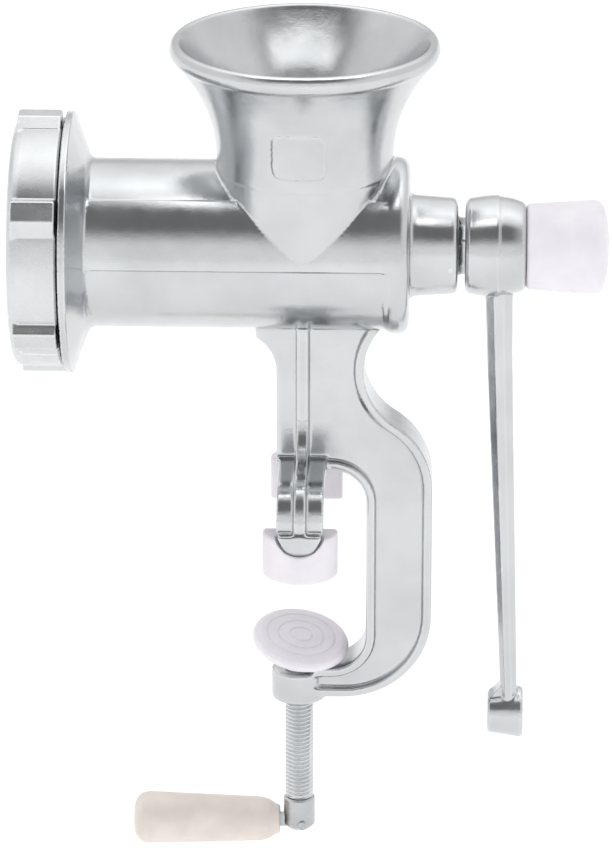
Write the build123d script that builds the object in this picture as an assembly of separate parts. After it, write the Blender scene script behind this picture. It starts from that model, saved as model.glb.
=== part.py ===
"""Hand crank meat grinder that clamps to a table edge.

Millimetres, +Z up. The origin lies on the table top, midway between the two foot pads, straight
below the hopper. +X points towards the crank, -X towards the plate where the meat comes out.
"""
import os
from math import cos, pi, radians, sin

from build123d import *

os.makedirs("parts", exist_ok=True)

# ---- driving dimensions -------------------------------------------------------------------
BARREL_Z = 106.0  # height of the barrel's axis over the table
BARREL_R = 28.6
BORE_R = 25.0
BAND_R = 29.7  # thicker band along each side of the barrel
NECK_R = 29.65
RIM_Z = 178.0  # top of the hopper
RIM_R = 45.3
PLATE_R = 35.0
MOUTH_THREAD_R = 38.4
MOUTH_PITCH = 2.5
RING_R = 42.2
RING_BACK_X = -81.0
RING_FRONT_X = -98.0
LUG_H = 3.5
LUG_COUNT = 6
BOSS_R0 = 17.2
BOSS_R1 = 16.3
WORM_PITCH = 25.0
JOURNAL_R = 10.5
BUSH_R = 12.5
DRIVE_FLATS = 17.4  # across the flats of the drive end
DRIVE_CORNERS = 18.6  # across its cut corners
FIT = 0.05  # radial play of the running fits
FRAME_HALF_Y = 8.5
WEB_HALF_Y = 6.0
FLANGE_W = 3.0  # thickness of the frame's edge flanges
LEG_X = -0.5
LEG_HALF_X = 8.0
RIB_HALF_X = 2.1
TAB_HALF_X = 4.3  # tab the foot pad grips, below its tapering shoulders
TAB_INNER_Y = 36.7
TAB_OUTER_Y = 40.5
SCREW_X = -2.0
SCREW_R = 4.9
SCREW_PITCH = 1.5
SCREW_THREAD_TOP = -47.8
HEAD_TOP = -99.5
HEAD_BOTTOM = -111.5
HANDLE_Z = -108.9
BALL_Z = -42.8
BALL_R = 4.5
PAD_R = 16.9
PAD_LEAN_X = 12.0  # how far the pad leans towards the front, in degrees
PAD_LEAN_Y = 9.0  # and towards the crank
CRANK_TOP_X = 65.5
CRANK_LENGTH = 172.0
CRANK_END_X = 71.4


def save(shape, node):
    export_step(shape, f"parts/{node}.step")


def along_x(x):
    """Plane facing +X at the given x, centred on the barrel's axis."""
    return Plane(origin=(x, 0, BARREL_Z), x_dir=(0, 1, 0), z_dir=(1, 0, 0))


def turned(points, axis_x=True, centre=(0, 0, 0)):
    """Solid turned from (distance along the axis, radius) points."""
    cx, cy, cz = centre
    if axis_x:
        line = Polyline(*[(cx + a, cy, cz + r) for a, r in points], close=True)
        axis = Axis((cx, cy, cz), (1, 0, 0))
    else:
        line = Polyline(*[(cx + r, cy, cz + a) for a, r in points], close=True)
        axis = Axis((cx, cy, cz), (0, 0, 1))
    return revolve(make_face(line), axis)


def barrel_turned(points):
    return turned(points, True, (0, 0, BARREL_Z))


def rod_x(x0, x1, radius, z=BARREL_Z, y=0.0):
    return Pos((x0 + x1) / 2, y, z) * Rot(0, 90, 0) * Cylinder(radius, x1 - x0)


def rod_z(z0, z1, radius, x=0.0, y=0.0):
    return Pos(x, y, (z0 + z1) / 2) * Cylinder(radius, z1 - z0)


def block(x0, x1, y0, y1, z0, z1):
    return Pos((x0 + x1) / 2, (y0 + y1) / 2, (z0 + z1) / 2) * Box(x1 - x0, y1 - y0, z1 - z0)


def thread_points(start, end, crest, root, pitch):
    """Outline of a threaded length as ring grooves: (along, radius) points."""
    points = []
    count = int((end - start) / pitch)
    flat = pitch / 8
    for i in range(count):
        a = start + i * pitch
        points += [(a, crest), (a + flat, crest), (a + pitch / 2, root), (a + pitch / 2 + flat, root)]
    points.append((start + count * pitch, crest))
    points.append((end, crest))
    return points


def drive_section(across_flats, across_corners):
    """Square with broadly cut corners, flats facing up, down and sideways."""
    return Rectangle(across_flats, across_flats) & Rot(0, 0, 45) * Rectangle(
        across_corners, across_corners
    )


# ---- body casting -------------------------------------------------------------------------
def hopper_shape(grow=0.0):
    """Outside of the neck and bowl: as wide as the barrel below, opening like a trumpet."""
    with BuildPart() as p:
        with BuildSketch(Plane.XZ):
            with BuildLine():
                low = Line((0, BARREL_Z), (NECK_R + grow, BARREL_Z))
                side = Line(low @ 1, (NECK_R + grow, 132))
                flare = Spline(
                    side @ 1, (30.8 + grow, 147), (35.2 + grow, 159.5), (43.3 + grow, 171.6),
                    tangents=[(0, 1), (0.62, 0.78)]
                )
                bead = ThreePointArc(flare @ 1, (RIM_R + grow, RIM_Z - 3.2), (43.9 + grow, RIM_Z))
                Polyline(bead @ 1, (0, RIM_Z), (0, BARREL_Z))
            make_face()
        revolve(axis=Axis.Z)
    return p.part


def hopper_hollow():
    with BuildPart() as p:
        with BuildSketch(Plane.XZ):
            with BuildLine():
                low = Line((0, BARREL_Z), (24.4, BARREL_Z))
                side = Line(low @ 1, (24.4, 134))
                flare = Spline(
                    side @ 1, (26.2, 147), (31.0, 160.0), (36.6, 169.4), (42.6, RIM_Z + 0.2),
                    tangents=[(0, 1), (0.60, 0.80)]
                )
                Polyline(flare @ 1, (0, RIM_Z + 0.2), (0, BARREL_Z))
            make_face()
        revolve(axis=Axis.Z)
    return p.part


def frame_outline():
    """Side view of the clamp frame, from the barrel down round the table gap to the jaw."""
    with BuildSketch(Plane.XZ) as s:
        with BuildLine():
            Polyline((-16.6, 82), (-16.6, 74.12))
            ThreePointArc((-16.6, 74.12), (-11.48, 69.0), (-9.6, 62.0))
            Polyline((-9.6, 62), (-9.6, 27), (9.3, 27))
            ThreePointArc((9.3, 27), (9.3 + 12 * sin(pi / 4), 15 + 12 * cos(pi / 4)), (21.3, 15))
            Line((21.3, 15), (21.3, -35.2))
            ThreePointArc(
                (21.3, -35.2), (9.3 + 12 * sin(pi / 4), -35.2 - 12 * cos(pi / 4)), (9.3, -47.2)
            )
            Polyline((9.3, -47.2), (SCREW_X, -47.2), (SCREW_X, -57.8), (13.5, -57.8))
            ThreePointArc(
                (13.5, -57.8), (13.5 + 30.4 * sin(pi / 4), -27.4 - 30.4 * cos(pi / 4)), (43.9, -27.4)
            )
            Line((43.9, -27.4), (43.9, 20))
            ThreePointArc((43.9, 20), (39.5, 35.1), (30.94, 43.6))
            ThreePointArc((30.94, 43.6), (20.2, 63.2), (27.4, 80.0))
            Polyline((27.4, 80), (27.4, 82), (-16.6, 82))
        make_face()
    return s.sketch


def frame_shape():
    outline = frame_outline()
    solid = extrude(outline, FRAME_HALF_Y, both=True)
    inner = offset(outline, -FLANGE_W)
    left_of_leg = Pos(-10, 0, 56.5) * Rot(90, 0, 0) * Rectangle(20, 51)
    jaw_end = Pos(SCREW_X, 0, -52.5) * Rot(90, 0, 0) * Rectangle(10, 4.6)
    pocket = inner + left_of_leg + jaw_end
    depth = FRAME_HALF_Y - WEB_HALF_Y + 0.5
    for side in (-1, 1):
        cut = extrude(pocket, depth, dir=(0, side, 0))
        solid -= Pos(0, side * WEB_HALF_Y, 0) * cut
    return solid


def tab_shoulders(grow=0.0):
    """Shoulders that taper from the width of the leg down to its tab."""
    outline = Polygon(
        (-7.8 - grow, 17.0), (7.8 + grow, 17.0), (TAB_HALF_X + grow, 9.0 - grow),
        (-TAB_HALF_X - grow, 9.0 - grow), align=None
    )
    thick = TAB_OUTER_Y - TAB_INNER_Y + 2 * grow
    return Pos(0, TAB_OUTER_Y + grow, 0) * extrude(Plane.XZ * outline, thick)


def leg_shape(side):
    """Curved leg band from the frame out and down to a foot, with its rib and the tab under it."""
    with BuildPart() as band:
        with BuildSketch(Plane.YZ):
            with BuildLine():
                Line((0, 31), (28, 31))
                ThreePointArc((28, 31), (28 + 12.5 * sin(pi / 4), 18.5 + 12.5 * cos(pi / 4)), (40.5, 18.5))
                Polyline((40.5, 18.5), (40.5, 16.4), (36.7, 16.4), (36.7, 18.3))
                ThreePointArc((36.7, 18.3), (28 + 8.7 * sin(pi / 4), 18.3 + 8.7 * cos(pi / 4)), (28, 27))
                Polyline((28, 27), (0, 27), (0, 31))
            make_face()
        extrude(amount=LEG_HALF_X, both=True)
    with BuildPart() as rib:
        with BuildSketch(Plane.YZ):
            with BuildLine():
                Polyline((0, 84), (10.3, 84), (10.3, 48))
                ThreePointArc((10.3, 48), (24.5 - 14.2 * cos(pi / 4), 48 - 14.2 * sin(pi / 4)), (24.5, 33.8))
                Line((24.5, 33.8), (28, 33.8))
                ThreePointArc((28, 33.8), (28 + 15.3 * sin(pi / 4), 18.5 + 15.3 * cos(pi / 4)), (43.3, 18.5))
                Polyline((43.3, 18.5), (43.3, 6.0), (36.7, 6.0), (36.7, 18.3))
                ThreePointArc((36.7, 18.3), (28 + 8.7 * sin(pi / 4), 18.3 + 8.7 * cos(pi / 4)), (28, 27))
                Polyline((28, 27), (0, 27), (0, 84))
            make_face()
        extrude(amount=RIB_HALF_X, both=True)
    tab = block(-TAB_HALF_X, TAB_HALF_X, TAB_INNER_Y, TAB_OUTER_Y, 6.0, 18)
    leg = Pos(LEG_X, 0, 0) * (band.part + rib.part + tab + tab_shoulders())
    return leg if side > 0 else mirror(leg, Plane.XZ)


def body_casting():
    barrel = barrel_turned(
        [(-71.6, 0), (-71.6, BARREL_R), (28, BARREL_R), (28, 0)]
    )
    mouth = barrel_turned(
        [(-71.7, 0), (-71.7, BARREL_R), (-73.2, 30.6), (-77.6, 42.6), (-78.0, 44.3), (-80.6, 44.3),
         (-80.6, 39.6), (-81.4, 37.1)]
        + [(-x, r) for x, r in thread_points(82.0, 93.8, MOUTH_THREAD_R, 37.1, MOUTH_PITCH)]
        + [(-94.0, 37.8), (-94.0, 0)]
    )
    collar = barrel_turned(
        [(27, 0), (27, 28.2), (28.0, 29.4), (29.6, 30), (32.0, 30.0), (33.9, 29.3), (35.1, 27.8),
         (35.5, 25.6), (35.5, 0)]
    )
    boss = barrel_turned(
        [(35, 0), (35, 18.6), (35.9, 17.5), (37.2, BOSS_R0), (50.2, BOSS_R1), (51.2, BOSS_R1 - 0.5),
         (51.7, BOSS_R1 - 1.6), (51.7, 0)]
    )
    body = barrel + mouth + collar + boss
    band_face = make_face(
        Polyline((-72.6, 0, BARREL_Z + 24), (-72.6, 0, BARREL_Z + BAND_R), (28, 0, BARREL_Z + BAND_R),
                 (28, 0, BARREL_Z + 24), close=True)
    )
    band = revolve(band_face, Axis((0, 0, BARREL_Z), (1, 0, 0)), revolution_arc=47)
    for turn in (43, 270):
        body += band.rotate(Axis((0, 0, BARREL_Z), (1, 0, 0)), turn)
    body += hopper_shape()
    body += frame_shape()
    for side in (-1, 1):
        body += leg_shape(side)
    body += rod_z(-60.6, -49.6, 9.6, SCREW_X)
    # blank raised panel on the front of the neck
    outline = extrude(RectangleRounded(17.6, 15.6, 3.0), 20)
    body += hopper_shape(0.6) & Pos(-1.0, -25, 146.4) * Rot(90, 0, 0) * outline
    # hollows
    body -= barrel_turned(
        [(-95, 0), (-95, PLATE_R + 0.1), (-89, PLATE_R + 0.1), (-89, 33), (-80, 33), (-73, BORE_R),
         (26.6, BORE_R), (26.6, 0)]
    )
    body -= hopper_hollow()
    body -= rod_x(26, 52, BUSH_R + 0.01)
    body -= rod_z(-61, -46, SCREW_R + FIT, SCREW_X)
    body -= rod_z(-49.6, -46, 9.8, SCREW_X)
    body -= Pos(-91.4, 0, BARREL_Z - 35) * Cylinder(1.51, 5.2)
    return body


# ---- foot pads ----------------------------------------------------------------------------
def foot_pad(side):
    """Cap with a flat inner side and a round outer side, slipped over the tab of a leg."""
    with BuildSketch() as plan:
        with BuildLine():
            Polyline((-12.7, 36.4), (-12.7, 31.8), (12.7, 31.8), (12.7, 36.4))
            ThreePointArc((12.7, 36.4), (0, 46.4), (-12.7, 36.4))
        make_face()
    pad = extrude(plan.sketch, 15.4)
    pad = fillet(pad.edges().filter_by(Axis.Z), 1.2)
    pad = fillet(pad.edges().group_by(Axis.Z)[0], 1.0)
    pad = fillet(pad.edges().group_by(Axis.Z)[-1], 0.9)
    pad = Pos(LEG_X, 0, 0) * pad
    pocket = block(-TAB_HALF_X - FIT, TAB_HALF_X + FIT, TAB_INNER_Y - FIT, TAB_OUTER_Y + FIT, 5.95, 16)
    pad -= Pos(LEG_X, 0, 0) * (pocket + tab_shoulders(FIT))
    pad -= block(LEG_X - RIB_HALF_X - 0.05, LEG_X + RIB_HALF_X + 0.05, 36.65, 43.35, 5.95, 16)
    # scoop round the front of the leg, so the cap can be pushed right up
    scoop = Pos(LEG_X, 45.4, 19.0) * Rot(90, 0, 0) * Cylinder(9.0, 13.0)
    pad -= scoop
    return pad if side > 0 else mirror(pad, Plane.XZ)


# ---- feed screw and what sits on it ---------------------------------------------------------
def feed_screw():
    core = barrel_turned(
        [(-82.0, 0), (-82.0, 10.5), (-70, 11.5), (10, 13.5), (20, 19.0), (20, 24.2), (24.6, 24.2),
         (24.6, JOURNAL_R), (51.8, JOURNAL_R), (52.3, JOURNAL_R - 0.6), (52.3, 0)]
    )
    drive = extrude(along_x(52) * drive_section(DRIVE_FLATS, DRIVE_CORNERS), 21.0)
    path = Helix(WORM_PITCH, 90.0, 16.0, center=(-76.0, 0, BARREL_Z), direction=(1, 0, 0))
    start = path @ 0
    outward = (start - Vector(-76.0, 0, BARREL_Z)).normalized()
    section = Plane(origin=start, x_dir=outward, z_dir=path % 0) * Polygon(
        (-9.0, -3.6), (8.6, -2.0), (8.6, 2.0), (-9.0, 3.6), align=None
    )
    flight = sweep(section, path, is_frenet=True)
    envelope = rod_x(-82.0, 24.0, BORE_R - 0.4)
    body = core + drive + (flight & envelope)
    body -= barrel_turned([(-82.5, 0), (-82.5, 5.03), (-66, 5.03), (-66, 0)])
    body -= rod_x(55, 74, 4.0 + FIT)
    return body


def knife_stud():
    shank = rod_x(-82.4, -66.2, 5.0)
    square = extrude(along_x(-88.9) * Rectangle(8.8, 8.8), 6.85)
    tip = rod_x(-94.2, -88.8, 4.0)
    return shank + square + tip


def knife():
    """Four swept blades on a hub, flat on the side that scrapes the plate."""
    hub = rod_x(-89.0, -83.0, 9.0)
    with BuildSketch(along_x(-89.0)) as s:
        with PolarLocations(0, 4):
            Polygon((4, -5.2), (20, -5.6), (31.6, -1.0), (31.2, 5.4), (18, 1.4), (4, 5.2), align=None)
    blades = extrude(s.sketch, 3.6)
    return hub + blades - extrude(along_x(-90) * Rectangle(8.9, 8.9), 8)


def grinder_plate():
    plate = rod_x(-94.9, -89.05, PLATE_R)
    with BuildSketch(along_x(-95.0)) as s:
        for radius, count in ((9.6, 8), (16.4, 14), (23.0, 20), (29.4, 26)):
            with PolarLocations(radius, count):
                Circle(2.4)
        Circle(4.0 + FIT)
    plate -= extrude(s.sketch, 7)
    plate -= block(-96, -88, -1.6, 1.6, BARREL_Z - 36, BARREL_Z - PLATE_R + 3.2)
    return plate


def plate_key_pin():
    return Pos(-91.4, 0, BARREL_Z - 34.6) * Cylinder(1.5, 4.8)


def ring_nut():
    """Ring with six ratchet-shaped lugs, a lip in front and a plain-turned thread bore."""
    ring = barrel_turned(
        [(RING_BACK_X, 0), (RING_BACK_X, 41.4), (RING_BACK_X - 0.8, RING_R), (-94.2, RING_R), (-96.4, 41.5),
         (-97.6, 40.0), (RING_FRONT_X, 38.0), (RING_FRONT_X, 0)]
    )
    angles = (-8.5, -5.6, 3.2, 12.0)
    radii = (RING_R - 1.0, RING_R + LUG_H, RING_R + LUG_H - 0.4, RING_R - 1.0)
    for i in range(LUG_COUNT):
        turn = 90 + 360 / LUG_COUNT * i
        corners = [(r * cos(radians(a + turn)), r * sin(radians(a + turn))) for r, a in zip(radii, angles)]
        outline = make_face(Polyline(*corners, close=True))
        ring += extrude(along_x(RING_FRONT_X + 1.8) * outline, RING_BACK_X - RING_FRONT_X - 2.3)
    bore = barrel_turned(
        [(-80, 0), (-80, MOUTH_THREAD_R + FIT), (-94.95, MOUTH_THREAD_R + FIT), (-94.95, 31.5), (-97.0, 31.5),
         (-98.1, 32.6), (-98.1, 0)]
    )
    return ring - bore


def bearing_bush():
    return rod_x(27.0, 51.4, BUSH_R) - rod_x(26, 52, JOURNAL_R + FIT)


def thrust_washer():
    return rod_x(24.7, 26.5, 20.0) - rod_x(24, 27, JOURNAL_R + FIT)


# ---- crank and knob -------------------------------------------------------------------------
def crank_arm():
    hub = barrel_turned(
        [(54.1, 0), (54.1, 14.8), (55.4, 16.2), (61.5, 17.2), (65.3, 17.4), (65.7, 17.0), (70.5, 16.2),
         (73.6, 15.1), (74.7, 14.0), (74.7, 0)]
    )
    end_z = BARREL_Z - CRANK_LENGTH
    top = Plane(origin=(CRANK_TOP_X, 0, BARREL_Z - 4), x_dir=(1, 0, 0), z_dir=(0, 0, 1)) * bar_section(9.6, 19)
    mid = Plane(origin=(66.4, 0, BARREL_Z - 40), x_dir=(1, 0, 0), z_dir=(0, 0, 1)) * bar_section(8.6, 15)
    low = Plane(origin=(CRANK_END_X, 0, end_z + 2), x_dir=(1, 0, 0), z_dir=(0, 0, 1)) * bar_section(5.6, 11)
    arm = loft([top, mid, low], ruled=True)
    boss = turned(
        [(63.8, 0), (63.8, 6.8), (64.4, 7.4), (75.2, 9.0), (76.2, 8.3), (76.2, 0)], True, (0, 0, end_z)
    )
    # curved web that runs from the arm out to the inner end of the boss
    with BuildPart() as gusset:
        with BuildSketch(Plane.XZ):
            with BuildLine():
                ThreePointArc((68.6, end_z + 13.4), (67.2, end_z + 9.4), (64.2, end_z + 6.9))
                Polyline((64.2, end_z + 6.9), (64.2, end_z + 4.6), (71, end_z + 4.6), (71, end_z + 13.4),
                         (68.6, end_z + 13.4))
            make_face()
        extrude(amount=3.6, both=True)
    crank = hub + arm + boss + gusset.part
    crank -= extrude(along_x(53) * drive_section(DRIVE_FLATS + 2 * FIT, DRIVE_CORNERS + 2 * FIT), 23)
    crank -= rod_x(62, 78, 3.5, end_z)
    return crank


def bar_section(thick, wide):
    """Bar thick along X and wide along Y, with its edges bevelled to a ridge."""
    t, w = thick / 2, wide / 2
    return Polygon(
        (t, -w + t * 0.8), (t, w - t * 0.8), (t * 0.35, w), (-t * 0.35, w), (-t, w - t * 0.8),
        (-t, -w + t * 0.8), (-t * 0.35, -w), (t * 0.35, -w), align=None
    )


def thumb_knob():
    knob = barrel_turned(
        [(74.8, 0), (74.8, 13.6), (75.6, 14.5), (97.6, 16.0), (99.4, 15.6), (100.8, 13.6), (101.8, 10.0),
         (102.5, 5.0), (102.7, 0)]
    )
    return knob - rod_x(74, 92, 4.01)


def knob_stud():
    return barrel_turned([(x, r) for x, r in [(57.0, 0)] + thread_points(57.0, 73.0, 4.0, 3.3, 1.25)
                          + [(91.9, 4.0), (91.9, 0)]])


# ---- clamp ------------------------------------------------------------------------------------
def clamp_screw():
    points = [(-106.0, 0), (-106.0, 3.4), (HEAD_TOP - 0.6, 3.4), (HEAD_TOP - 0.6, 4.2),
              (HEAD_TOP + 0.4, 4.2)]
    points += thread_points(HEAD_TOP + 0.4, SCREW_THREAD_TOP, SCREW_R, 4.0, SCREW_PITCH)
    points += [(SCREW_THREAD_TOP, 2.5), (BALL_Z + 2.6, 2.5), (BALL_Z + 2.6, 0)]
    return turned(points, False, (SCREW_X, 0, 0))


def screw_head():
    head = turned(
        [(HEAD_BOTTOM, 0), (HEAD_BOTTOM, 3.9), (HEAD_BOTTOM + 1.6, 5.5), (HEAD_TOP - 0.5, 5.5),
         (HEAD_TOP, 4.9), (HEAD_TOP, 0)],
        False, (SCREW_X, 0, 0)
    )
    head -= rod_z(-106.05, HEAD_TOP + 1, 3.45, SCREW_X)
    head -= rod_z(HEAD_TOP - 0.65, HEAD_TOP + 1, 4.3, SCREW_X)
    # slot the handle's tang swings in, open to the side and below
    head -= block(SCREW_X - 6, SCREW_X + 3.8, -1.7, 1.7, HEAD_BOTTOM - 1, -105.9)
    head -= Pos(SCREW_X + 1.2, 0, HANDLE_Z) * Rot(90, 0, 0) * Cylinder(1.25, 14)
    return head


def handle_pin():
    pin = Pos(SCREW_X + 1.2, 0, HANDLE_Z) * Rot(90, 0, 0) * Cylinder(1.2, 11)
    for side in (-1, 1):
        pin += Pos(SCREW_X + 1.2, side * 5.8, HANDLE_Z) * Rot(90, 0, 0) * Cylinder(1.75, 0.6)
    return pin


def handle_tang():
    """Flat steel tang with an eye for the pin, moulded into the grip."""
    eye = Pos(SCREW_X + 1.2, 0, HANDLE_Z) * Rot(90, 0, 0) * Cylinder(2.2, 3.2)
    bar = block(-46, SCREW_X + 1.2, -1.6, 1.6, HANDLE_Z - 2.1, HANDLE_Z + 2.1)
    hole = Pos(SCREW_X + 1.2, 0, HANDLE_Z) * Rot(90, 0, 0) * Cylinder(1.2 + FIT, 6)
    return eye + bar - hole


def clamp_handle_grip():
    grip = turned(
        [(-60.5, 0), (-60.3, 4.0), (-59.4, 6.8), (-57.6, 8.6), (-55.6, 9.2), (-15.5, 7.8), (-12.6, 7.0),
         (-10.4, 5.5), (-8.8, 4.9), (-8.8, 0)],
        True, (0, 0, HANDLE_Z)
    )
    return grip - block(-46.05, -8, -1.62, 1.62, HANDLE_Z - 2.12, HANDLE_Z + 2.12)


def ball_ferrule():
    ball = Pos(SCREW_X, 0, BALL_Z) * Sphere(BALL_R)
    ball &= block(SCREW_X - 5, SCREW_X + 5, -5, 5, BALL_Z - 3.4, BALL_Z + 2.6)
    return ball - rod_z(-47, -38, 2.5 + FIT, SCREW_X)


def ferrule_rivet():
    return rod_z(BALL_Z + 2.6, BALL_Z + 3.1, 2.9, SCREW_X)


def clamp_pad():
    """Plastic disc with rings on its face, on a socket that snaps over the ball."""
    disc = turned(
        [(-0.6, 0), (-0.6, 11.6), (0.4, 15.0), (2.0, 16.6), (3.7, PAD_R), (5.0, 16.2), (5.8, 14.6),
         (5.8, 12.4), (5.4, 12.2),
         (5.4, 11.6), (5.8, 11.4), (5.8, 8.4), (5.4, 8.2), (5.4, 7.6), (5.8, 7.4), (5.8, 0)],
        False
    )
    socket = rod_z(-3.0, 1.8, 7.0)
    pad = disc + socket - Sphere(BALL_R + 0.12)
    pad -= rod_z(-4, 0, 3.7)
    lean = Rot(PAD_LEAN_X, 0, 0) * Rot(0, PAD_LEAN_Y, 0)
    return Pos(SCREW_X, 0, BALL_Z) * lean * pad


NODES = {
    "body_casting": body_casting,
    "front_foot_pad": lambda: foot_pad(-1),
    "rear_foot_pad": lambda: foot_pad(1),
    "bearing_bush": bearing_bush,
    "thrust_washer": thrust_washer,
    "plate_key_pin": plate_key_pin,
    "feed_screw": feed_screw,
    "knife_stud": knife_stud,
    "knife": knife,
    "grinder_plate": grinder_plate,
    "ring_nut": ring_nut,
    "crank_arm": crank_arm,
    "thumb_knob": thumb_knob,
    "knob_stud": knob_stud,
    "clamp_screw": clamp_screw,
    "screw_head": screw_head,
    "handle_pin": handle_pin,
    "handle_tang": handle_tang,
    "clamp_handle_grip": clamp_handle_grip,
    "ball_ferrule": ball_ferrule,
    "ferrule_rivet": ferrule_rivet,
    "clamp_pad": clamp_pad,
}

for node, make in NODES.items():
    save(make(), node)
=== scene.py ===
import math

import bmesh
import bpy
import numpy as np
from mathutils import Matrix, Vector


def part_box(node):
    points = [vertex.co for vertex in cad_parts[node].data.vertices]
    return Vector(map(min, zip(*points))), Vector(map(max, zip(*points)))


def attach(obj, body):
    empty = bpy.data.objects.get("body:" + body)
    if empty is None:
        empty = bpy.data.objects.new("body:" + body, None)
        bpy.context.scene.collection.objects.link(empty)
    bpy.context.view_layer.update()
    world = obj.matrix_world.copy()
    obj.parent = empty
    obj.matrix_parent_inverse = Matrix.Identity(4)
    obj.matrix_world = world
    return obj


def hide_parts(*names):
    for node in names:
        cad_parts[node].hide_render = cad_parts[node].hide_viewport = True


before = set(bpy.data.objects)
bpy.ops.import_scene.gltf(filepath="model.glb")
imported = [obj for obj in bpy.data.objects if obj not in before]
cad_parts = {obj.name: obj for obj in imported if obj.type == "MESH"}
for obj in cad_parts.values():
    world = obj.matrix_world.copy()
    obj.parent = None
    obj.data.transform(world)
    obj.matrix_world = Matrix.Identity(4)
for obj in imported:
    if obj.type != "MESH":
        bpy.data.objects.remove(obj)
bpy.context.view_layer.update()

# ---- body casting ---------------------------------------------------------------------------
# One aluminium casting: barrel, hopper, collar, boss and the deep clamp frame with its two legs.
# It is poured in a two-part mould, fettled and then tumbled and buffed, so its edges are soft and
# its skin is bright with a faint orange peel and scattered pores.
BARREL_Z = 0.106
BODY_VOXEL = 0.00055
BODY_ROUNDS = 9
ROUND_TOLERANCE = 0.00022
PROFILE_STEP = 0.0005
ROW_POINTS = 20
FACING_LIMIT = 0.3
WAVE_MM = 7.0
PATCH_MM = 24.0


def linear(code):
    """sRGB hex to linear red, green, blue, alpha."""
    channels = [int(code[i:i + 2], 16) / 255 for i in (0, 2, 4)]
    return [c / 12.92 if c <= 0.04045 else ((c + 0.055) / 1.055) ** 2.4 for c in channels] + [1.0]


def add(tree, kind, settings=None, links=(), stops=()):
    """Adds a node. Settings are its properties or inputs, links are (input, from node, output).

    Stops are a colour ramp's (place, linear colour) pairs.
    """
    node = tree.nodes.new(kind)
    for name, value in (settings or {}).items():
        if isinstance(name, str) and hasattr(node, name):
            setattr(node, name, value)
        else:
            node.inputs[name].default_value = value
    for socket, source, output in links:
        tree.links.new(source.outputs[output], node.inputs[socket])
    if stops:
        elements = node.color_ramp.elements
        while len(elements) < len(stops):
            elements.new(1.0)
        for element, (place, colour) in zip(elements, stops):
            element.position = place
            element.color = colour
    return node


def blank_material(name):
    """New material with an empty node tree."""
    material = bpy.data.materials.new(name)
    material.use_nodes = True
    material.node_tree.nodes.clear()
    return material, material.node_tree


def placed(name, data):
    """New object of that mesh, light or camera, linked into the scene."""
    thing = bpy.data.objects.new(name, data)
    bpy.context.collection.objects.link(thing)
    return thing


def bare_metal(name, bright, dull, edge, smooth, rough, grain_mm, grain_depth_mm, wave_depth_mm):
    """Bare metal: two noises vary its tone and polish, handled edges are brighter, grain is bump."""
    material, tree = blank_material(name)
    place = add(tree, "ShaderNodeTexCoord")
    wave = add(tree, "ShaderNodeTexNoise", {"Scale": 1000 / WAVE_MM, "Detail": 3.0, "Roughness": 0.5},
               [("Vector", place, "Object")])
    grain = add(tree, "ShaderNodeTexNoise", {"Scale": 1000 / grain_mm, "Detail": 4.0, "Roughness": 0.6},
                [("Vector", place, "Object")])
    patch = add(tree, "ShaderNodeTexNoise", {"Scale": 1000 / PATCH_MM, "Detail": 4.0, "Roughness": 0.55},
                [("Vector", place, "Object")])
    tone = add(tree, "ShaderNodeValToRGB", links=[("Fac", patch, "Fac")],
               stops=[(0.30, linear(dull)), (0.62, linear(bright))])
    pores = add(tree, "ShaderNodeMapRange",
                {"From Min": 0.30, "From Max": 0.42, "To Min": 0.55, "To Max": 0.0},
                [("Value", grain, "Fac")])
    spotted = add(tree, "ShaderNodeMix", {"data_type": "RGBA", 7: linear(dull)},
                  [(0, pores, "Result"), (6, tone, "Color")])
    shape = add(tree, "ShaderNodeNewGeometry")
    worn = add(tree, "ShaderNodeMapRange",
               {"From Min": 0.505, "From Max": 0.56, "To Min": 0.0, "To Max": 0.7},
               [("Value", shape, "Pointiness")])
    colour = add(tree, "ShaderNodeMix", {"data_type": "RGBA", 7: linear(edge)},
                 [(0, worn, "Result"), (6, spotted, 2)])
    polish = add(tree, "ShaderNodeMapRange",
                 {"From Min": 0.32, "From Max": 0.68, "To Min": smooth, "To Max": rough},
                 [("Value", wave, "Fac")])
    peel = add(tree, "ShaderNodeBump", {"Strength": 1.0, "Distance": wave_depth_mm / 1000},
               [("Height", wave, "Fac")])
    bump = add(tree, "ShaderNodeBump", {"Strength": 1.0, "Distance": grain_depth_mm / 1000},
               [("Height", grain, "Fac"), ("Normal", peel, "Normal")])
    shader = add(tree, "ShaderNodeBsdfPrincipled", {"Metallic": 1.0},
                 [("Base Color", colour, 2), ("Roughness", polish, "Result"), ("Normal", bump, "Normal")])
    add(tree, "ShaderNodeOutputMaterial", links=[("Surface", shader, "BSDF")])
    return material


def finish_piece(piece, material, body, slot, *nodes):
    """Gives a piece its material and smooth shading, hides the solids it stands for and ties it to its body.
    The slot, its finish, is not used.
    """
    piece.data.materials.clear()
    piece.data.materials.append(material)
    piece.data.polygons.foreach_set("use_smooth", [True] * len(piece.data.polygons))
    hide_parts(*nodes)
    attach(piece, body)


def cast_skin(node, name, voxel, rounds):
    """Skin of a solid with its edges eased, as casting, tumbling or moulding leaves them."""
    piece = placed(name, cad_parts[node].data.copy())
    joined = bmesh.new()
    joined.from_mesh(piece.data)
    bmesh.ops.remove_doubles(joined, verts=joined.verts, dist=1e-6)
    joined.to_mesh(piece.data)
    joined.free()
    skin = piece.modifiers.new("skin", "REMESH")
    skin.mode = "VOXEL"
    skin.voxel_size = voxel
    ease = piece.modifiers.new("ease", "SMOOTH")
    ease.factor = 0.5
    ease.iterations = rounds
    graph = bpy.context.evaluated_depsgraph_get()
    mesh = bpy.data.meshes.new_from_object(piece.evaluated_get(graph))
    piece.modifiers.clear()
    piece.data = mesh
    return piece


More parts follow.
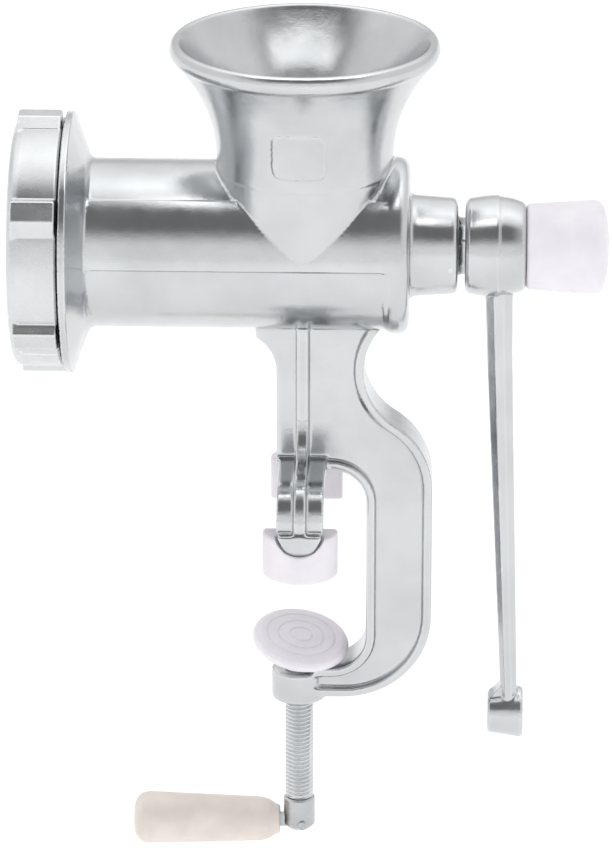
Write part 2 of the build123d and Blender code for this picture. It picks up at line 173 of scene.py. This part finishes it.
def true_round(piece, axis, centre, start, end, inner, outer, facing, degree):
    """Brings a turned stretch of a skin back to exact rounds about its axis (0 for X, 2 for Z).

    Facing is 1 for an outside wall and -1 for a bore. The profile becomes one curve of that degree.
    """
    mesh = piece.data
    points = np.empty(len(mesh.vertices) * 3)
    mesh.vertices.foreach_get("co", points)
    points = points.reshape(-1, 3)
    normals = np.empty(len(mesh.vertices) * 3)
    mesh.vertex_normals.foreach_get("vector", normals)
    normals = normals.reshape(-1, 3)
    across = [i for i in range(3) if i != axis]
    offset = points[:, across] - [centre[i] for i in across]
    radius = np.hypot(offset[:, 0], offset[:, 1])
    outward = (offset * normals[:, across]).sum(axis=1) / np.maximum(radius, 1e-9)
    along = points[:, axis]
    inside = (along > start) & (along < end) & (radius > inner) & (radius < outer)
    chosen = np.nonzero(inside & (outward * facing > FACING_LIMIT))[0]
    bins = ((along[chosen] - start) / PROFILE_STEP).astype(int)
    places, medians = [], []
    for b in np.unique(bins):
        row = chosen[bins == b]
        if len(row) > ROW_POINTS:
            places.append(along[row].mean() - start)
            medians.append(np.median(radius[row]))
    if len(places) <= degree:
        return
    profile = np.polyfit(places, medians, degree)
    target = np.polyval(profile, along[chosen] - start)
    near = np.abs(radius[chosen] - target) < ROUND_TOLERANCE
    rows = chosen[near]
    scale = target[near] / radius[rows]
    for column, i in enumerate(across):
        points[rows, i] = centre[i] + offset[rows, column] * scale
    mesh.vertices.foreach_set("co", points.ravel())
    mesh.update()


# Polished cast aluminium gives the eye soft white and dark bands with a slightly uneven edge.
polished_cast_aluminium = bare_metal("polished_cast_aluminium", "CBCDCF", "C0C2C4", "DFE1E2",
                                     0.12, 0.22, 0.45, 0.030, 0.10)

cast_body = cast_skin("body_casting", "cast_body", BODY_VOXEL, BODY_ROUNDS)
barrel_centre = (0.0, 0.0, BARREL_Z)
# (start, end, inner radius, outer radius, facing, degree of the profile)
BARREL_STRETCHES = ((-0.0705, 0.0270, 0.0280, 0.0290, 1, 1), (-0.0715, 0.0270, 0.0292, 0.0300, 1, 1),
                    (-0.0804, -0.0782, 0.0430, 0.0446, 1, 0), (0.0285, 0.0345, 0.0270, 0.0302, 1, 4),
                    (0.0378, 0.0500, 0.0155, 0.0176, 1, 1))
HOPPER_STRETCHES = ((0.1180, 0.1325, 0.0292, 0.0300, 1, 1), (0.1335, 0.1712, 0.0290, 0.0440, 1, 6),
                    (0.1345, 0.1768, 0.0240, 0.0425, -1, 6))
for stretch in BARREL_STRETCHES:
    true_round(cast_body, 0, barrel_centre, *stretch)
for stretch in HOPPER_STRETCHES:
    true_round(cast_body, 2, (0.0, 0.0, 0.0), *stretch)
finish_piece(cast_body, polished_cast_aluminium, "frame", "cast_aluminium", "body_casting")

# ---- foot pads ------------------------------------------------------------------------------
# Caps of soft white polyethylene, injection moulded and pushed over the tab of each leg, so the
# clamp doesn't mark the table. They are slightly translucent, with a low, waxy shine.
FOOT_VOXEL = 0.00032
FOOT_ROUNDS = 6
SHADE_MM = 11.0
PLASTIC_GRAIN_DEPTH = 0.000025


def moulded_plastic(name, main, shade, gloss, matte, grain_mm, glow_mm, glow):
    """Moulded plastic: a fine spark-eroded grain, slow shade changes and light inside the wall."""
    material, tree = blank_material(name)
    place = add(tree, "ShaderNodeTexCoord")
    slow = add(tree, "ShaderNodeTexNoise", {"Scale": 1000 / SHADE_MM, "Detail": 2.0},
               [("Vector", place, "Object")])
    grain = add(tree, "ShaderNodeTexNoise", {"Scale": 1000 / grain_mm, "Detail": 3.0},
                [("Vector", place, "Object")])
    tone = add(tree, "ShaderNodeValToRGB", links=[("Fac", slow, "Fac")],
               stops=[(0.35, linear(shade)), (0.65, linear(main))])
    polish = add(tree, "ShaderNodeMapRange",
                 {"From Min": 0.35, "From Max": 0.65, "To Min": gloss, "To Max": matte},
                 [("Value", grain, "Fac")])
    bump = add(tree, "ShaderNodeBump", {"Strength": 1.0, "Distance": PLASTIC_GRAIN_DEPTH},
               [("Height", grain, "Fac")])
    shader = add(tree, "ShaderNodeBsdfPrincipled",
                 {"IOR": 1.5, "Subsurface Weight": glow, "Subsurface Scale": glow_mm / 1000,
                  "Subsurface Radius": (1.0, 0.9, 0.95)},
                 [("Base Color", tone, "Color"), ("Roughness", polish, "Result"),
                  ("Normal", bump, "Normal")])
    add(tree, "ShaderNodeOutputMaterial", links=[("Surface", shader, "BSDF")])
    return material


# Moulded white polyethylene reads as a milky, faintly cool white with soft highlights.
moulded_white_polyethylene = moulded_plastic("moulded_white_polyethylene", "ECE8EE", "E5E1E8",
                                             0.36, 0.50, 0.7, 1.6, 0.25)
for side in ("front", "rear"):
    cap = cast_skin(f"{side}_foot_pad", f"{side}_foot_cap", FOOT_VOXEL, FOOT_ROUNDS)
    finish_piece(cap, moulded_white_polyethylene, "frame", "white_plastic", f"{side}_foot_pad")

# ---- bearing bush, thrust washer and key pin ------------------------------------------------
# A plastic sleeve pressed into the boss carries the feed screw, with a washer behind its flange.
# A small steel pin driven into the mouth's edge stops the plate from turning.
ROUND_STEPS = 96
EDGE_SHARE = 0.42
SUPPORT_SHARE = 0.15


def eased(outline, radius, count=5):
    """Rounds an outline's corners, with a support point on each side of every rounding."""
    points = [Vector(outline[0])]
    for before, corner, after in zip(outline, outline[1:], outline[2:]):
        before, corner, after = Vector(before), Vector(corner), Vector(after)
        reach = min(radius, (before - corner).length * EDGE_SHARE, (after - corner).length * EDGE_SHARE)
        start = corner + (before - corner).normalized() * reach
        end = corner + (after - corner).normalized() * reach
        points.append(start + (before - corner).normalized() * reach * SUPPORT_SHARE)
        for i in range(count + 1):
            t = i / count
            points.append(start * (1 - t) ** 2 + corner * 2 * t * (1 - t) + end * t ** 2)
        points.append(end + (after - corner).normalized() * reach * SUPPORT_SHARE)
    points.append(Vector(outline[-1]))
    return [(p[0], p[1]) for p in points]


def closed_piece(name, shell):
    """Object of a finished shell, with its faces turned outward."""
    bmesh.ops.recalc_face_normals(shell, faces=shell.faces)
    mesh = bpy.data.meshes.new(name)
    shell.to_mesh(mesh)
    shell.free()
    return placed(name, mesh)


def turned_piece(name, outline, axis, centre, closed=False, lean=None):
    """Turned piece from (along, radius) millimetre points. Closed outlines make hollow pieces."""
    shell = bmesh.new()
    rings = []
    for along, radius in outline:
        if radius < 1e-6:
            spots = [(0.0, 0.0)]
        else:
            spots = [(radius * math.cos(2 * math.pi * i / ROUND_STEPS),
                      radius * math.sin(2 * math.pi * i / ROUND_STEPS)) for i in range(ROUND_STEPS)]
        ring = []
        for u, v in spots:
            spot = Vector((along, u, v)) if axis == "x" else Vector((u, v, along))
            if axis == "y":
                spot = Vector((u, along, v))
            if lean:
                spot = lean @ spot
            ring.append(shell.verts.new((spot + Vector(centre)) / 1000))
        rings.append(ring)
    pairs = list(zip(rings, rings[1:]))
    if closed:
        pairs.append((rings[-1], rings[0]))
    for one, other in pairs:
        for i in range(ROUND_STEPS):
            j = (i + 1) % ROUND_STEPS
            corners = []
            for vert in (one[i % len(one)], one[j % len(one)], other[j % len(other)], other[i % len(other)]):
                if vert not in corners:
                    corners.append(vert)
            if len(corners) > 2:
                shell.faces.new(corners)
    return closed_piece(name, shell)


def hollow(start, end, inner, outer, chamfer):
    """Closed outline of a sleeve with its four edges chamfered."""
    return [(start, inner + chamfer), (start, outer - chamfer),
            (start + chamfer, outer), (end - chamfer, outer),
            (end, outer - chamfer), (end, inner + chamfer),
            (end - chamfer, inner), (start + chamfer, inner)]


barrel_mm = (0, 0, BARREL_Z * 1000)
# Moulded white acetal is a harder, slicker white than the caps.
moulded_white_acetal = moulded_plastic("moulded_white_acetal", "E9E9E6", "DFDFDB",
                                       0.28, 0.38, 0.5, 0.8, 0.12)
sleeve = turned_piece("bush_sleeve", hollow(27.0, 51.4, 10.55, 12.5, 0.35), "x", barrel_mm, True)
finish_piece(sleeve, moulded_white_acetal, "frame", "bush_plastic", "bearing_bush")
washer = turned_piece("thrust_ring", hollow(24.7, 26.5, 10.55, 20.0, 0.25), "x", barrel_mm, True)
finish_piece(washer, moulded_white_acetal, "frame", "bush_plastic", "thrust_washer")

# Drawn steel is greyer than the casting, with a tight satin grain.
drawn_steel = bare_metal("drawn_steel", "BFC1C2", "A5A8AA", "DADCDD", 0.22, 0.34, 0.6, 0.012, 0.02)
key_low, key_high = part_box("plate_key_pin")
key_centre = ((key_low + key_high) / 2) * 1000
key_half = (key_high - key_low)[2] * 500
key_outline = eased([(-key_half, 0), (-key_half, 1.5), (key_half, 1.5), (key_half, 0)], 0.3)
key = turned_piece("plate_key", key_outline, "z", key_centre)
finish_piece(key, drawn_steel, "frame", "steel", "plate_key_pin")

# ---- feed screw and knife stud --------------------------------------------------------------
# The worm is cast with its journal and the eight-sided drive end, then the journal is turned.
# The steel stud with a square for the knife is pressed into its front end.
WORM_VOXEL = 0.0005
WORM_ROUNDS = 6
STUD_VOXEL = 0.00025
STUD_ROUNDS = 2
feed_worm = cast_skin("feed_screw", "feed_worm", WORM_VOXEL, WORM_ROUNDS)
true_round(feed_worm, 0, barrel_centre, 0.0255, 0.0515, 0.0100, 0.0108, 1, 0)
finish_piece(feed_worm, polished_cast_aluminium, "feed", "cast_aluminium", "feed_screw")
square_stud = cast_skin("knife_stud", "square_stud", STUD_VOXEL, STUD_ROUNDS)
finish_piece(square_stud, drawn_steel, "feed", "steel", "knife_stud")

# ---- knife and grinder plate ----------------------------------------------------------------
# Both are hardened carbon steel. The knife's four blades and the plate's face are surface ground
# flat so that they shear against each other, which leaves fine marks in circles.
STAIN_MM = 9.0
MARK_DEPTH = 0.00002


def ground_steel(name, bright, dull, mark_mm):
    """Ground steel: its marks run in circles about the barrel's axis."""
    material, tree = blank_material(name)
    place = add(tree, "ShaderNodeTexCoord")
    parts = add(tree, "ShaderNodeSeparateXYZ", links=[("Vector", place, "Object")])
    height = add(tree, "ShaderNodeMath", {"operation": "SUBTRACT", 1: BARREL_Z}, [(0, parts, "Z")])
    flat = add(tree, "ShaderNodeCombineXYZ", links=[("X", parts, "Y"), ("Y", height, "Value")])
    radius = add(tree, "ShaderNodeVectorMath", {"operation": "LENGTH"}, [(0, flat, "Vector")])
    marks = add(tree, "ShaderNodeTexNoise",
                {"noise_dimensions": "1D", "Scale": 1000 / mark_mm, "Detail": 3.0, "Roughness": 0.7},
                [("W", radius, "Value")])
    stain = add(tree, "ShaderNodeTexNoise", {"Scale": 1000 / STAIN_MM, "Detail": 4.0},
                [("Vector", place, "Object")])
    tone = add(tree, "ShaderNodeValToRGB", links=[("Fac", stain, "Fac")],
               stops=[(0.32, linear(dull)), (0.60, linear(bright))])
    polish = add(tree, "ShaderNodeMapRange",
                 {"From Min": 0.3, "From Max": 0.7, "To Min": 0.20, "To Max": 0.38},
                 [("Value", marks, "Fac")])
    bump = add(tree, "ShaderNodeBump", {"Strength": 1.0, "Distance": MARK_DEPTH}, [("Height", marks, "Fac")])
    shader = add(tree, "ShaderNodeBsdfPrincipled", {"Metallic": 1.0},
                 [("Base Color", tone, "Color"), ("Roughness", polish, "Result"),
                  ("Normal", bump, "Normal")])
    add(tree, "ShaderNodeOutputMaterial", links=[("Surface", shader, "BSDF")])
    return material


# Ground carbon steel shows grey rings, coarser than the real 0.1 mm grit lines so that they show.
ground_carbon_steel = ground_steel("ground_carbon_steel", "B9BBBC", "9A9C9E", 0.45)
for node in ("knife", "grinder_plate"):
    for material_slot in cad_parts[node].material_slots:
        material_slot.material = ground_carbon_steel

# ---- ring nut -------------------------------------------------------------------------------
# Cast ring that screws on the mouth and holds the plate by its lip. Six ramp-shaped lugs give the
# hand a hold. Its rim is turned and buffed after casting.
RING_VOXEL = 0.00042
RING_ROUNDS = 7
ring = cast_skin("ring_nut", "mouth_ring", RING_VOXEL, RING_ROUNDS)
true_round(ring, 0, barrel_centre, -0.0940, -0.0820, 0.0415, 0.0424, 1, 1)
true_round(ring, 0, barrel_centre, -0.0968, -0.0952, 0.0310, 0.0320, -1, 0)
# Turned cast aluminium is satin, so its bands are broader and paler than on the buffed body.
turned_cast_aluminium = bare_metal("turned_cast_aluminium", "D3D5D6", "C8CACC", "E4E6E7",
                                   0.22, 0.32, 0.45, 0.030, 0.08)
finish_piece(ring, turned_cast_aluminium, "ring", "cast_aluminium", "ring_nut")

# ---- crank arm ------------------------------------------------------------------------------
# Hub, tapering arm and end boss are one casting, with bevelled edges along the arm. The hub slips
# over the drive end, and the boss has a hole for a grip.
CRANK_VOXEL = 0.0004
CRANK_ROUNDS = 6
crank = cast_skin("crank_arm", "cast_crank", CRANK_VOXEL, CRANK_ROUNDS)
true_round(crank, 0, barrel_centre, 0.0560, 0.0650, 0.0155, 0.0178, 1, 2)
true_round(crank, 0, barrel_centre, 0.0663, 0.0732, 0.0148, 0.0175, 1, 2)
finish_piece(crank, polished_cast_aluminium, "crank", "cast_aluminium", "crank_arm")

# ---- thumb knob and its stud ----------------------------------------------------------------
# A moulded knob screws into the drive end and holds the crank on. It widens towards its end and
# is closed by a shallow dome. Its steel stud has a rolled thread.


def threaded_rod(name, axis, centre, start, end, crest, root, pitch, before, after):
    """Rod with a true helical thread from start to end, and plain (along, radius) ends."""
    shell = bmesh.new()
    steps = 48
    rows_per_turn = 10
    flank_slope = 2.6
    crest_flat = 0.25
    count = int((end - start) / pitch * rows_per_turn)
    rows = [(along, radius, False) for along, radius in before]
    rows += [(start + (end - start) * i / count, 0.0, True) for i in range(count + 1)]
    rows += [(along, radius, False) for along, radius in after]
    run_out = pitch * 0.8
    rings = []
    for along, radius, cut in rows:
        ring = []
        for i in range(steps):
            turn = i / steps
            if cut:
                phase = ((along - start) / pitch - turn) % 1.0
                depth = min(1.0, max(0.0, (0.5 - abs(phase - 0.5)) * flank_slope - crest_flat))
                fade = min(1.0, (along - start) / run_out, (end - along) / run_out)
                radius = crest - (crest - root) * depth * max(0.0, fade)
            u, v = radius * math.cos(2 * math.pi * turn), radius * math.sin(2 * math.pi * turn)
            spot = Vector((along, u, v)) if axis == "x" else Vector((u, v, along))
            ring.append(shell.verts.new((spot + Vector(centre)) / 1000))
        rings.append(ring)
    for one, other in zip(rings, rings[1:]):
        for i in range(steps):
            j = (i + 1) % steps
            shell.faces.new((one[i], one[j], other[j], other[i]))
    shell.faces.new(rings[0])
    shell.faces.new(rings[-1])
    return closed_piece(name, shell)


knob_outline = [(76.0, 0), (76.0, 4.05), (74.8, 4.4), (74.8, 13.6), (75.6, 14.5), (97.4, 16.0),
                (99.6, 15.5), (101.0, 13.4), (101.9, 9.8), (102.5, 5.0), (102.7, 0)]
knob = turned_piece("moulded_knob", eased(knob_outline, 0.9), "x", barrel_mm)
finish_piece(knob, moulded_white_polyethylene, "knob", "white_plastic", "thumb_knob")
stud = threaded_rod("threaded_stud", "x", barrel_mm, 57.4, 73.0, 4.0, 3.3, 1.25,
                    [(57.0, 3.4), (57.1, 3.6)], [(91.6, 4.0), (91.9, 3.7)])
finish_piece(stud, drawn_steel, "knob", "steel", "knob_stud")

# ---- clamp screw, head and pin --------------------------------------------------------------
# Steel screw with a rolled thread, plated with zinc. A head is pressed on its lower end, slotted
# for the handle's tang, and a pin with headed ends holds the tang in the slot.
SCREW_X = -2.0
PIN_X = SCREW_X + 1.2
HANDLE_Z = -108.9
HEAD_VOXEL = 0.0002
HEAD_ROUNDS = 5

# Zinc-plated steel is a softer grey than aluminium, with a slight blue and fine crystals.
zinc_plated_steel = bare_metal("zinc_plated_steel", "DADCDE", "C4C7CA", "E6E8E9",
                               0.18, 0.28, 0.8, 0.01, 0.02)
screw = threaded_rod("rolled_screw", "z", (SCREW_X, 0, 0), -99.0, -48.0, 4.9, 4.0, 1.5,
                     [(-106.0, 3.2), (-105.8, 3.4), (-100.1, 3.4), (-100.05, 4.2), (-99.1, 4.2)],
                     [(-47.85, 4.3), (-47.8, 2.6), (-47.7, 2.5), (-40.3, 2.5), (-40.2, 2.4)])
finish_piece(screw, zinc_plated_steel, "screw", "steel", "clamp_screw")
head = cast_skin("screw_head", "slotted_head", HEAD_VOXEL, HEAD_ROUNDS)
finish_piece(head, drawn_steel, "screw", "steel", "screw_head")
pin_outline = [(-6.1, 0), (-6.1, 1.1), (-5.9, 1.6), (-5.5, 1.75), (-5.5, 1.2),
               (5.5, 1.2), (5.5, 1.75), (5.9, 1.6), (6.1, 1.1), (6.1, 0)]
pin = turned_piece("handle_rivet", eased(pin_outline, 0.15), "y", (PIN_X, 0, HANDLE_Z))
finish_piece(pin, drawn_steel, "screw", "steel", "handle_pin")

# ---- folding handle -------------------------------------------------------------------------
# A flat steel tang is moulded into an ivory grip that thickens towards its free end. The tang's
# eye sits in the head's slot, so that the handle folds on the pin.
TANG_VOXEL = 0.0002
TANG_ROUNDS = 4
tang = cast_skin("handle_tang", "steel_tang", TANG_VOXEL, TANG_ROUNDS)
finish_piece(tang, drawn_steel, "handle", "steel", "handle_tang")
# Moulded ivory ABS is a warm off-white with a satin surface.
moulded_ivory_abs = moulded_plastic("moulded_ivory_abs", "E6DDD6", "DCD3CB",
                                    0.38, 0.52, 0.6, 0.9, 0.12)
grip_outline = [(-60.5, 0), (-60.3, 4.4), (-59.4, 7.0), (-57.6, 8.7), (-55.2, 9.2), (-15.5, 7.8),
                (-12.6, 7.0), (-10.4, 5.5), (-8.8, 4.9), (-8.8, 2.4), (-11.0, 2.2), (-11.0, 0)]
grip = turned_piece("ivory_grip", eased(grip_outline, 0.8), "x", (0, 0, HANDLE_Z))
finish_piece(grip, moulded_ivory_abs, "handle", "grip_plastic", "clamp_handle_grip")

# ---- ball ferrule, rivet and pad ------------------------------------------------------------
# A ball is riveted on the screw's end, and the pad's socket snaps over it, so the pad can lean and
# stays still while the screw turns. Rings on its face keep it from slipping under the table.
BALL_Z = -42.8
BALL_RADIUS = 4.5
ball_outline = [(-3.4, 2.55), (-3.4, 2.95)]
ball_outline += [(a, math.sqrt(BALL_RADIUS ** 2 - a ** 2))
                 for a in (-3.3, -2.8, -2.0, -1.0, 0.0, 1.0, 2.0, 2.5)]
ball_outline += [(2.6, 3.6), (2.6, 2.55)]
ball = turned_piece("screw_ball", ball_outline, "z", (SCREW_X, 0, BALL_Z), True)
finish_piece(ball, drawn_steel, "ferrule", "steel", "ball_ferrule")
rivet_outline = [(2.6, 0), (2.6, 2.7), (2.7, 2.85), (2.9, 2.8), (3.02, 2.3), (3.1, 1.2), (3.1, 0)]
rivet = turned_piece("ball_rivet", rivet_outline, "z", (SCREW_X, 0, BALL_Z))
finish_piece(rivet, drawn_steel, "screw", "steel", "ferrule_rivet")
pad_lean = Matrix.Rotation(math.radians(12), 3, "X") @ Matrix.Rotation(math.radians(9), 3, "Y")
pad_outline = [(-3.0, 3.75), (-3.0, 6.7), (-2.7, 7.0), (-0.6, 7.0), (-0.6, 11.4), (0.4, 14.9),
               (2.0, 16.5), (3.7, 16.9), (5.0, 16.2), (5.8, 14.6)]
for ring_radius in (12.0, 8.0, 4.0):
    pad_outline += [(5.8, ring_radius + 0.4), (5.4, ring_radius + 0.2),
                    (5.4, ring_radius - 0.4), (5.8, ring_radius - 0.6)]
pad_outline.append((5.8, 0))
cup = [(4.62, 0), (4.4, 1.4), (3.7, 2.77), (2.4, 3.95), (0.0, 4.62), (-1.8, 4.25), (-2.6, 3.82)]
pad = turned_piece("ringed_pad", cup + eased(pad_outline, 0.35, 3), "z", (SCREW_X, 0, BALL_Z),
                   False, pad_lean)
finish_piece(pad, moulded_white_polyethylene, "pad", "white_plastic", "clamp_pad")

# ---- floor, light and camera ----------------------------------------------------------------
# The grinder hangs from a table edge, so the plain pale floor lies below the reach of the folded
# handle. A broad soft sky lights it, and dark screens in front give the metal its dark bands.
FLOOR_RADIUS = 9.0
FLOOR_CLEARANCE = 0.002
pin_low, pin_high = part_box("handle_pin")
pin_middle = (pin_low + pin_high) / 2
handle_reach = pin_middle.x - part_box("clamp_handle_grip")[0].x
floor_z = pin_middle.z - handle_reach - FLOOR_CLEARANCE
ground = bmesh.new()
bmesh.ops.create_circle(ground, cap_ends=True, segments=96, radius=FLOOR_RADIUS,
                        matrix=Matrix.Translation((0, 0, floor_z)))
floor_mesh = bpy.data.meshes.new("floor")
ground.to_mesh(floor_mesh)
ground.free()
floor = placed("floor", floor_mesh)
pale_floor = bpy.data.materials.new("pale_floor")
pale_floor.use_nodes = True
floor_shader = pale_floor.node_tree.nodes["Principled BSDF"]
floor_shader.inputs["Base Color"].default_value = linear("F4F4F4")
floor_shader.inputs["Roughness"].default_value = 0.9
floor_shader.inputs["Specular IOR Level"].default_value = 0.1
floor_shader.inputs["Emission Color"].default_value = linear("FFFFFF")
floor_shader.inputs["Emission Strength"].default_value = 0.22
floor_mesh.materials.append(pale_floor)

world = bpy.data.worlds.new("studio")
bpy.context.scene.world = world
world.use_nodes = True
sky = world.node_tree
sky.nodes.clear()
direction = add(sky, "ShaderNodeTexCoord")
parts = add(sky, "ShaderNodeSeparateXYZ", links=[("Vector", direction, "Generated")])
toward = add(sky, "ShaderNodeMath", {"operation": "MULTIPLY", 1: -1.0}, [(0, parts, "Y")])
angle = add(sky, "ShaderNodeMath", {"operation": "ARCTAN2"}, [(0, parts, "Z"), (1, toward, "Value")])
turn = add(sky, "ShaderNodeMath", {"operation": "DIVIDE", 1: math.pi}, [(0, angle, "Value")])
# (part of the half turn from the front horizon over the top to the back horizon, brightness)
SKY_BANDS = ((0.00, 0.62), (0.095, 0.58), (0.145, 0.34), (0.195, 0.12), (0.365, 0.12), (0.425, 0.62),
             (0.56, 1.00), (0.70, 0.74), (0.82, 0.62), (0.90, 0.42), (0.95, 0.40), (1.00, 0.60))
bands = add(sky, "ShaderNodeValToRGB", links=[("Fac", turn, "Value")],
            stops=[(position, (level, level, level, 1.0)) for position, level in SKY_BANDS])
# The screens end at the sides, where the studio's pale walls take over.
aside = add(sky, "ShaderNodeMath", {"operation": "ABSOLUTE"}, [(0, parts, "X")])
wall = add(sky, "ShaderNodeMapRange", {"From Min": 0.45, "From Max": 0.8}, [("Value", aside, "Value")])
room = add(sky, "ShaderNodeMix", {"data_type": "RGBA", 7: (0.54, 0.54, 0.54, 1.0)},
           [(0, wall, "Result"), (6, bands, "Color")])
backdrop = add(sky, "ShaderNodeBackground", {"Strength": 1.75}, [("Color", room, 2)])
add(sky, "ShaderNodeOutputWorld", links=[("Surface", backdrop, "Background")])

# A large soft panel in front fills the white plastics. The metal doesn't mirror it.
fill = bpy.data.lights.new("front_fill", "AREA")
fill.shape = "RECTANGLE"
fill.size = 1.6
fill.size_y = 1.0
fill.energy = 9.0
fill_panel = placed("front_fill", fill)
fill_panel.location = (-0.25, -1.9, 1.35)
fill_aim = Vector((0, 0, 0.03)) - fill_panel.location
fill_panel.rotation_euler = fill_aim.to_track_quat("-Z", "Y").to_euler()
fill_panel.visible_glossy = False

# A small panel close over the front rim brightens the inside of the bowl.
bowl_light = bpy.data.lights.new("bowl_panel", "AREA")
bowl_light.shape = "RECTANGLE"
bowl_light.size = 0.12
bowl_light.size_y = 0.045
bowl_light.energy = 0.022
bowl_panel = placed("bowl_panel", bowl_light)
bowl_panel.location = (0.004, -0.048, 0.245)
bowl_aim = Vector((0, 0.036, 0.165)) - bowl_panel.location
bowl_panel.rotation_euler = bowl_aim.to_track_quat("-Z", "Y").to_euler()
bowl_panel.visible_camera = False

lens = bpy.data.cameras.new("camera")
lens.sensor_width = 36.0
lens.lens = 209.8
camera = placed("camera", lens)
camera.location = (0.0517, -1.5797, 0.6502)
target = Vector((0.00036, 0.0, 0.0408))
camera.rotation_euler = (target - camera.location).to_track_quat("-Z", "Y").to_euler()
bpy.context.scene.camera = camera
bpy.context.scene.view_settings.view_transform = "Standard"
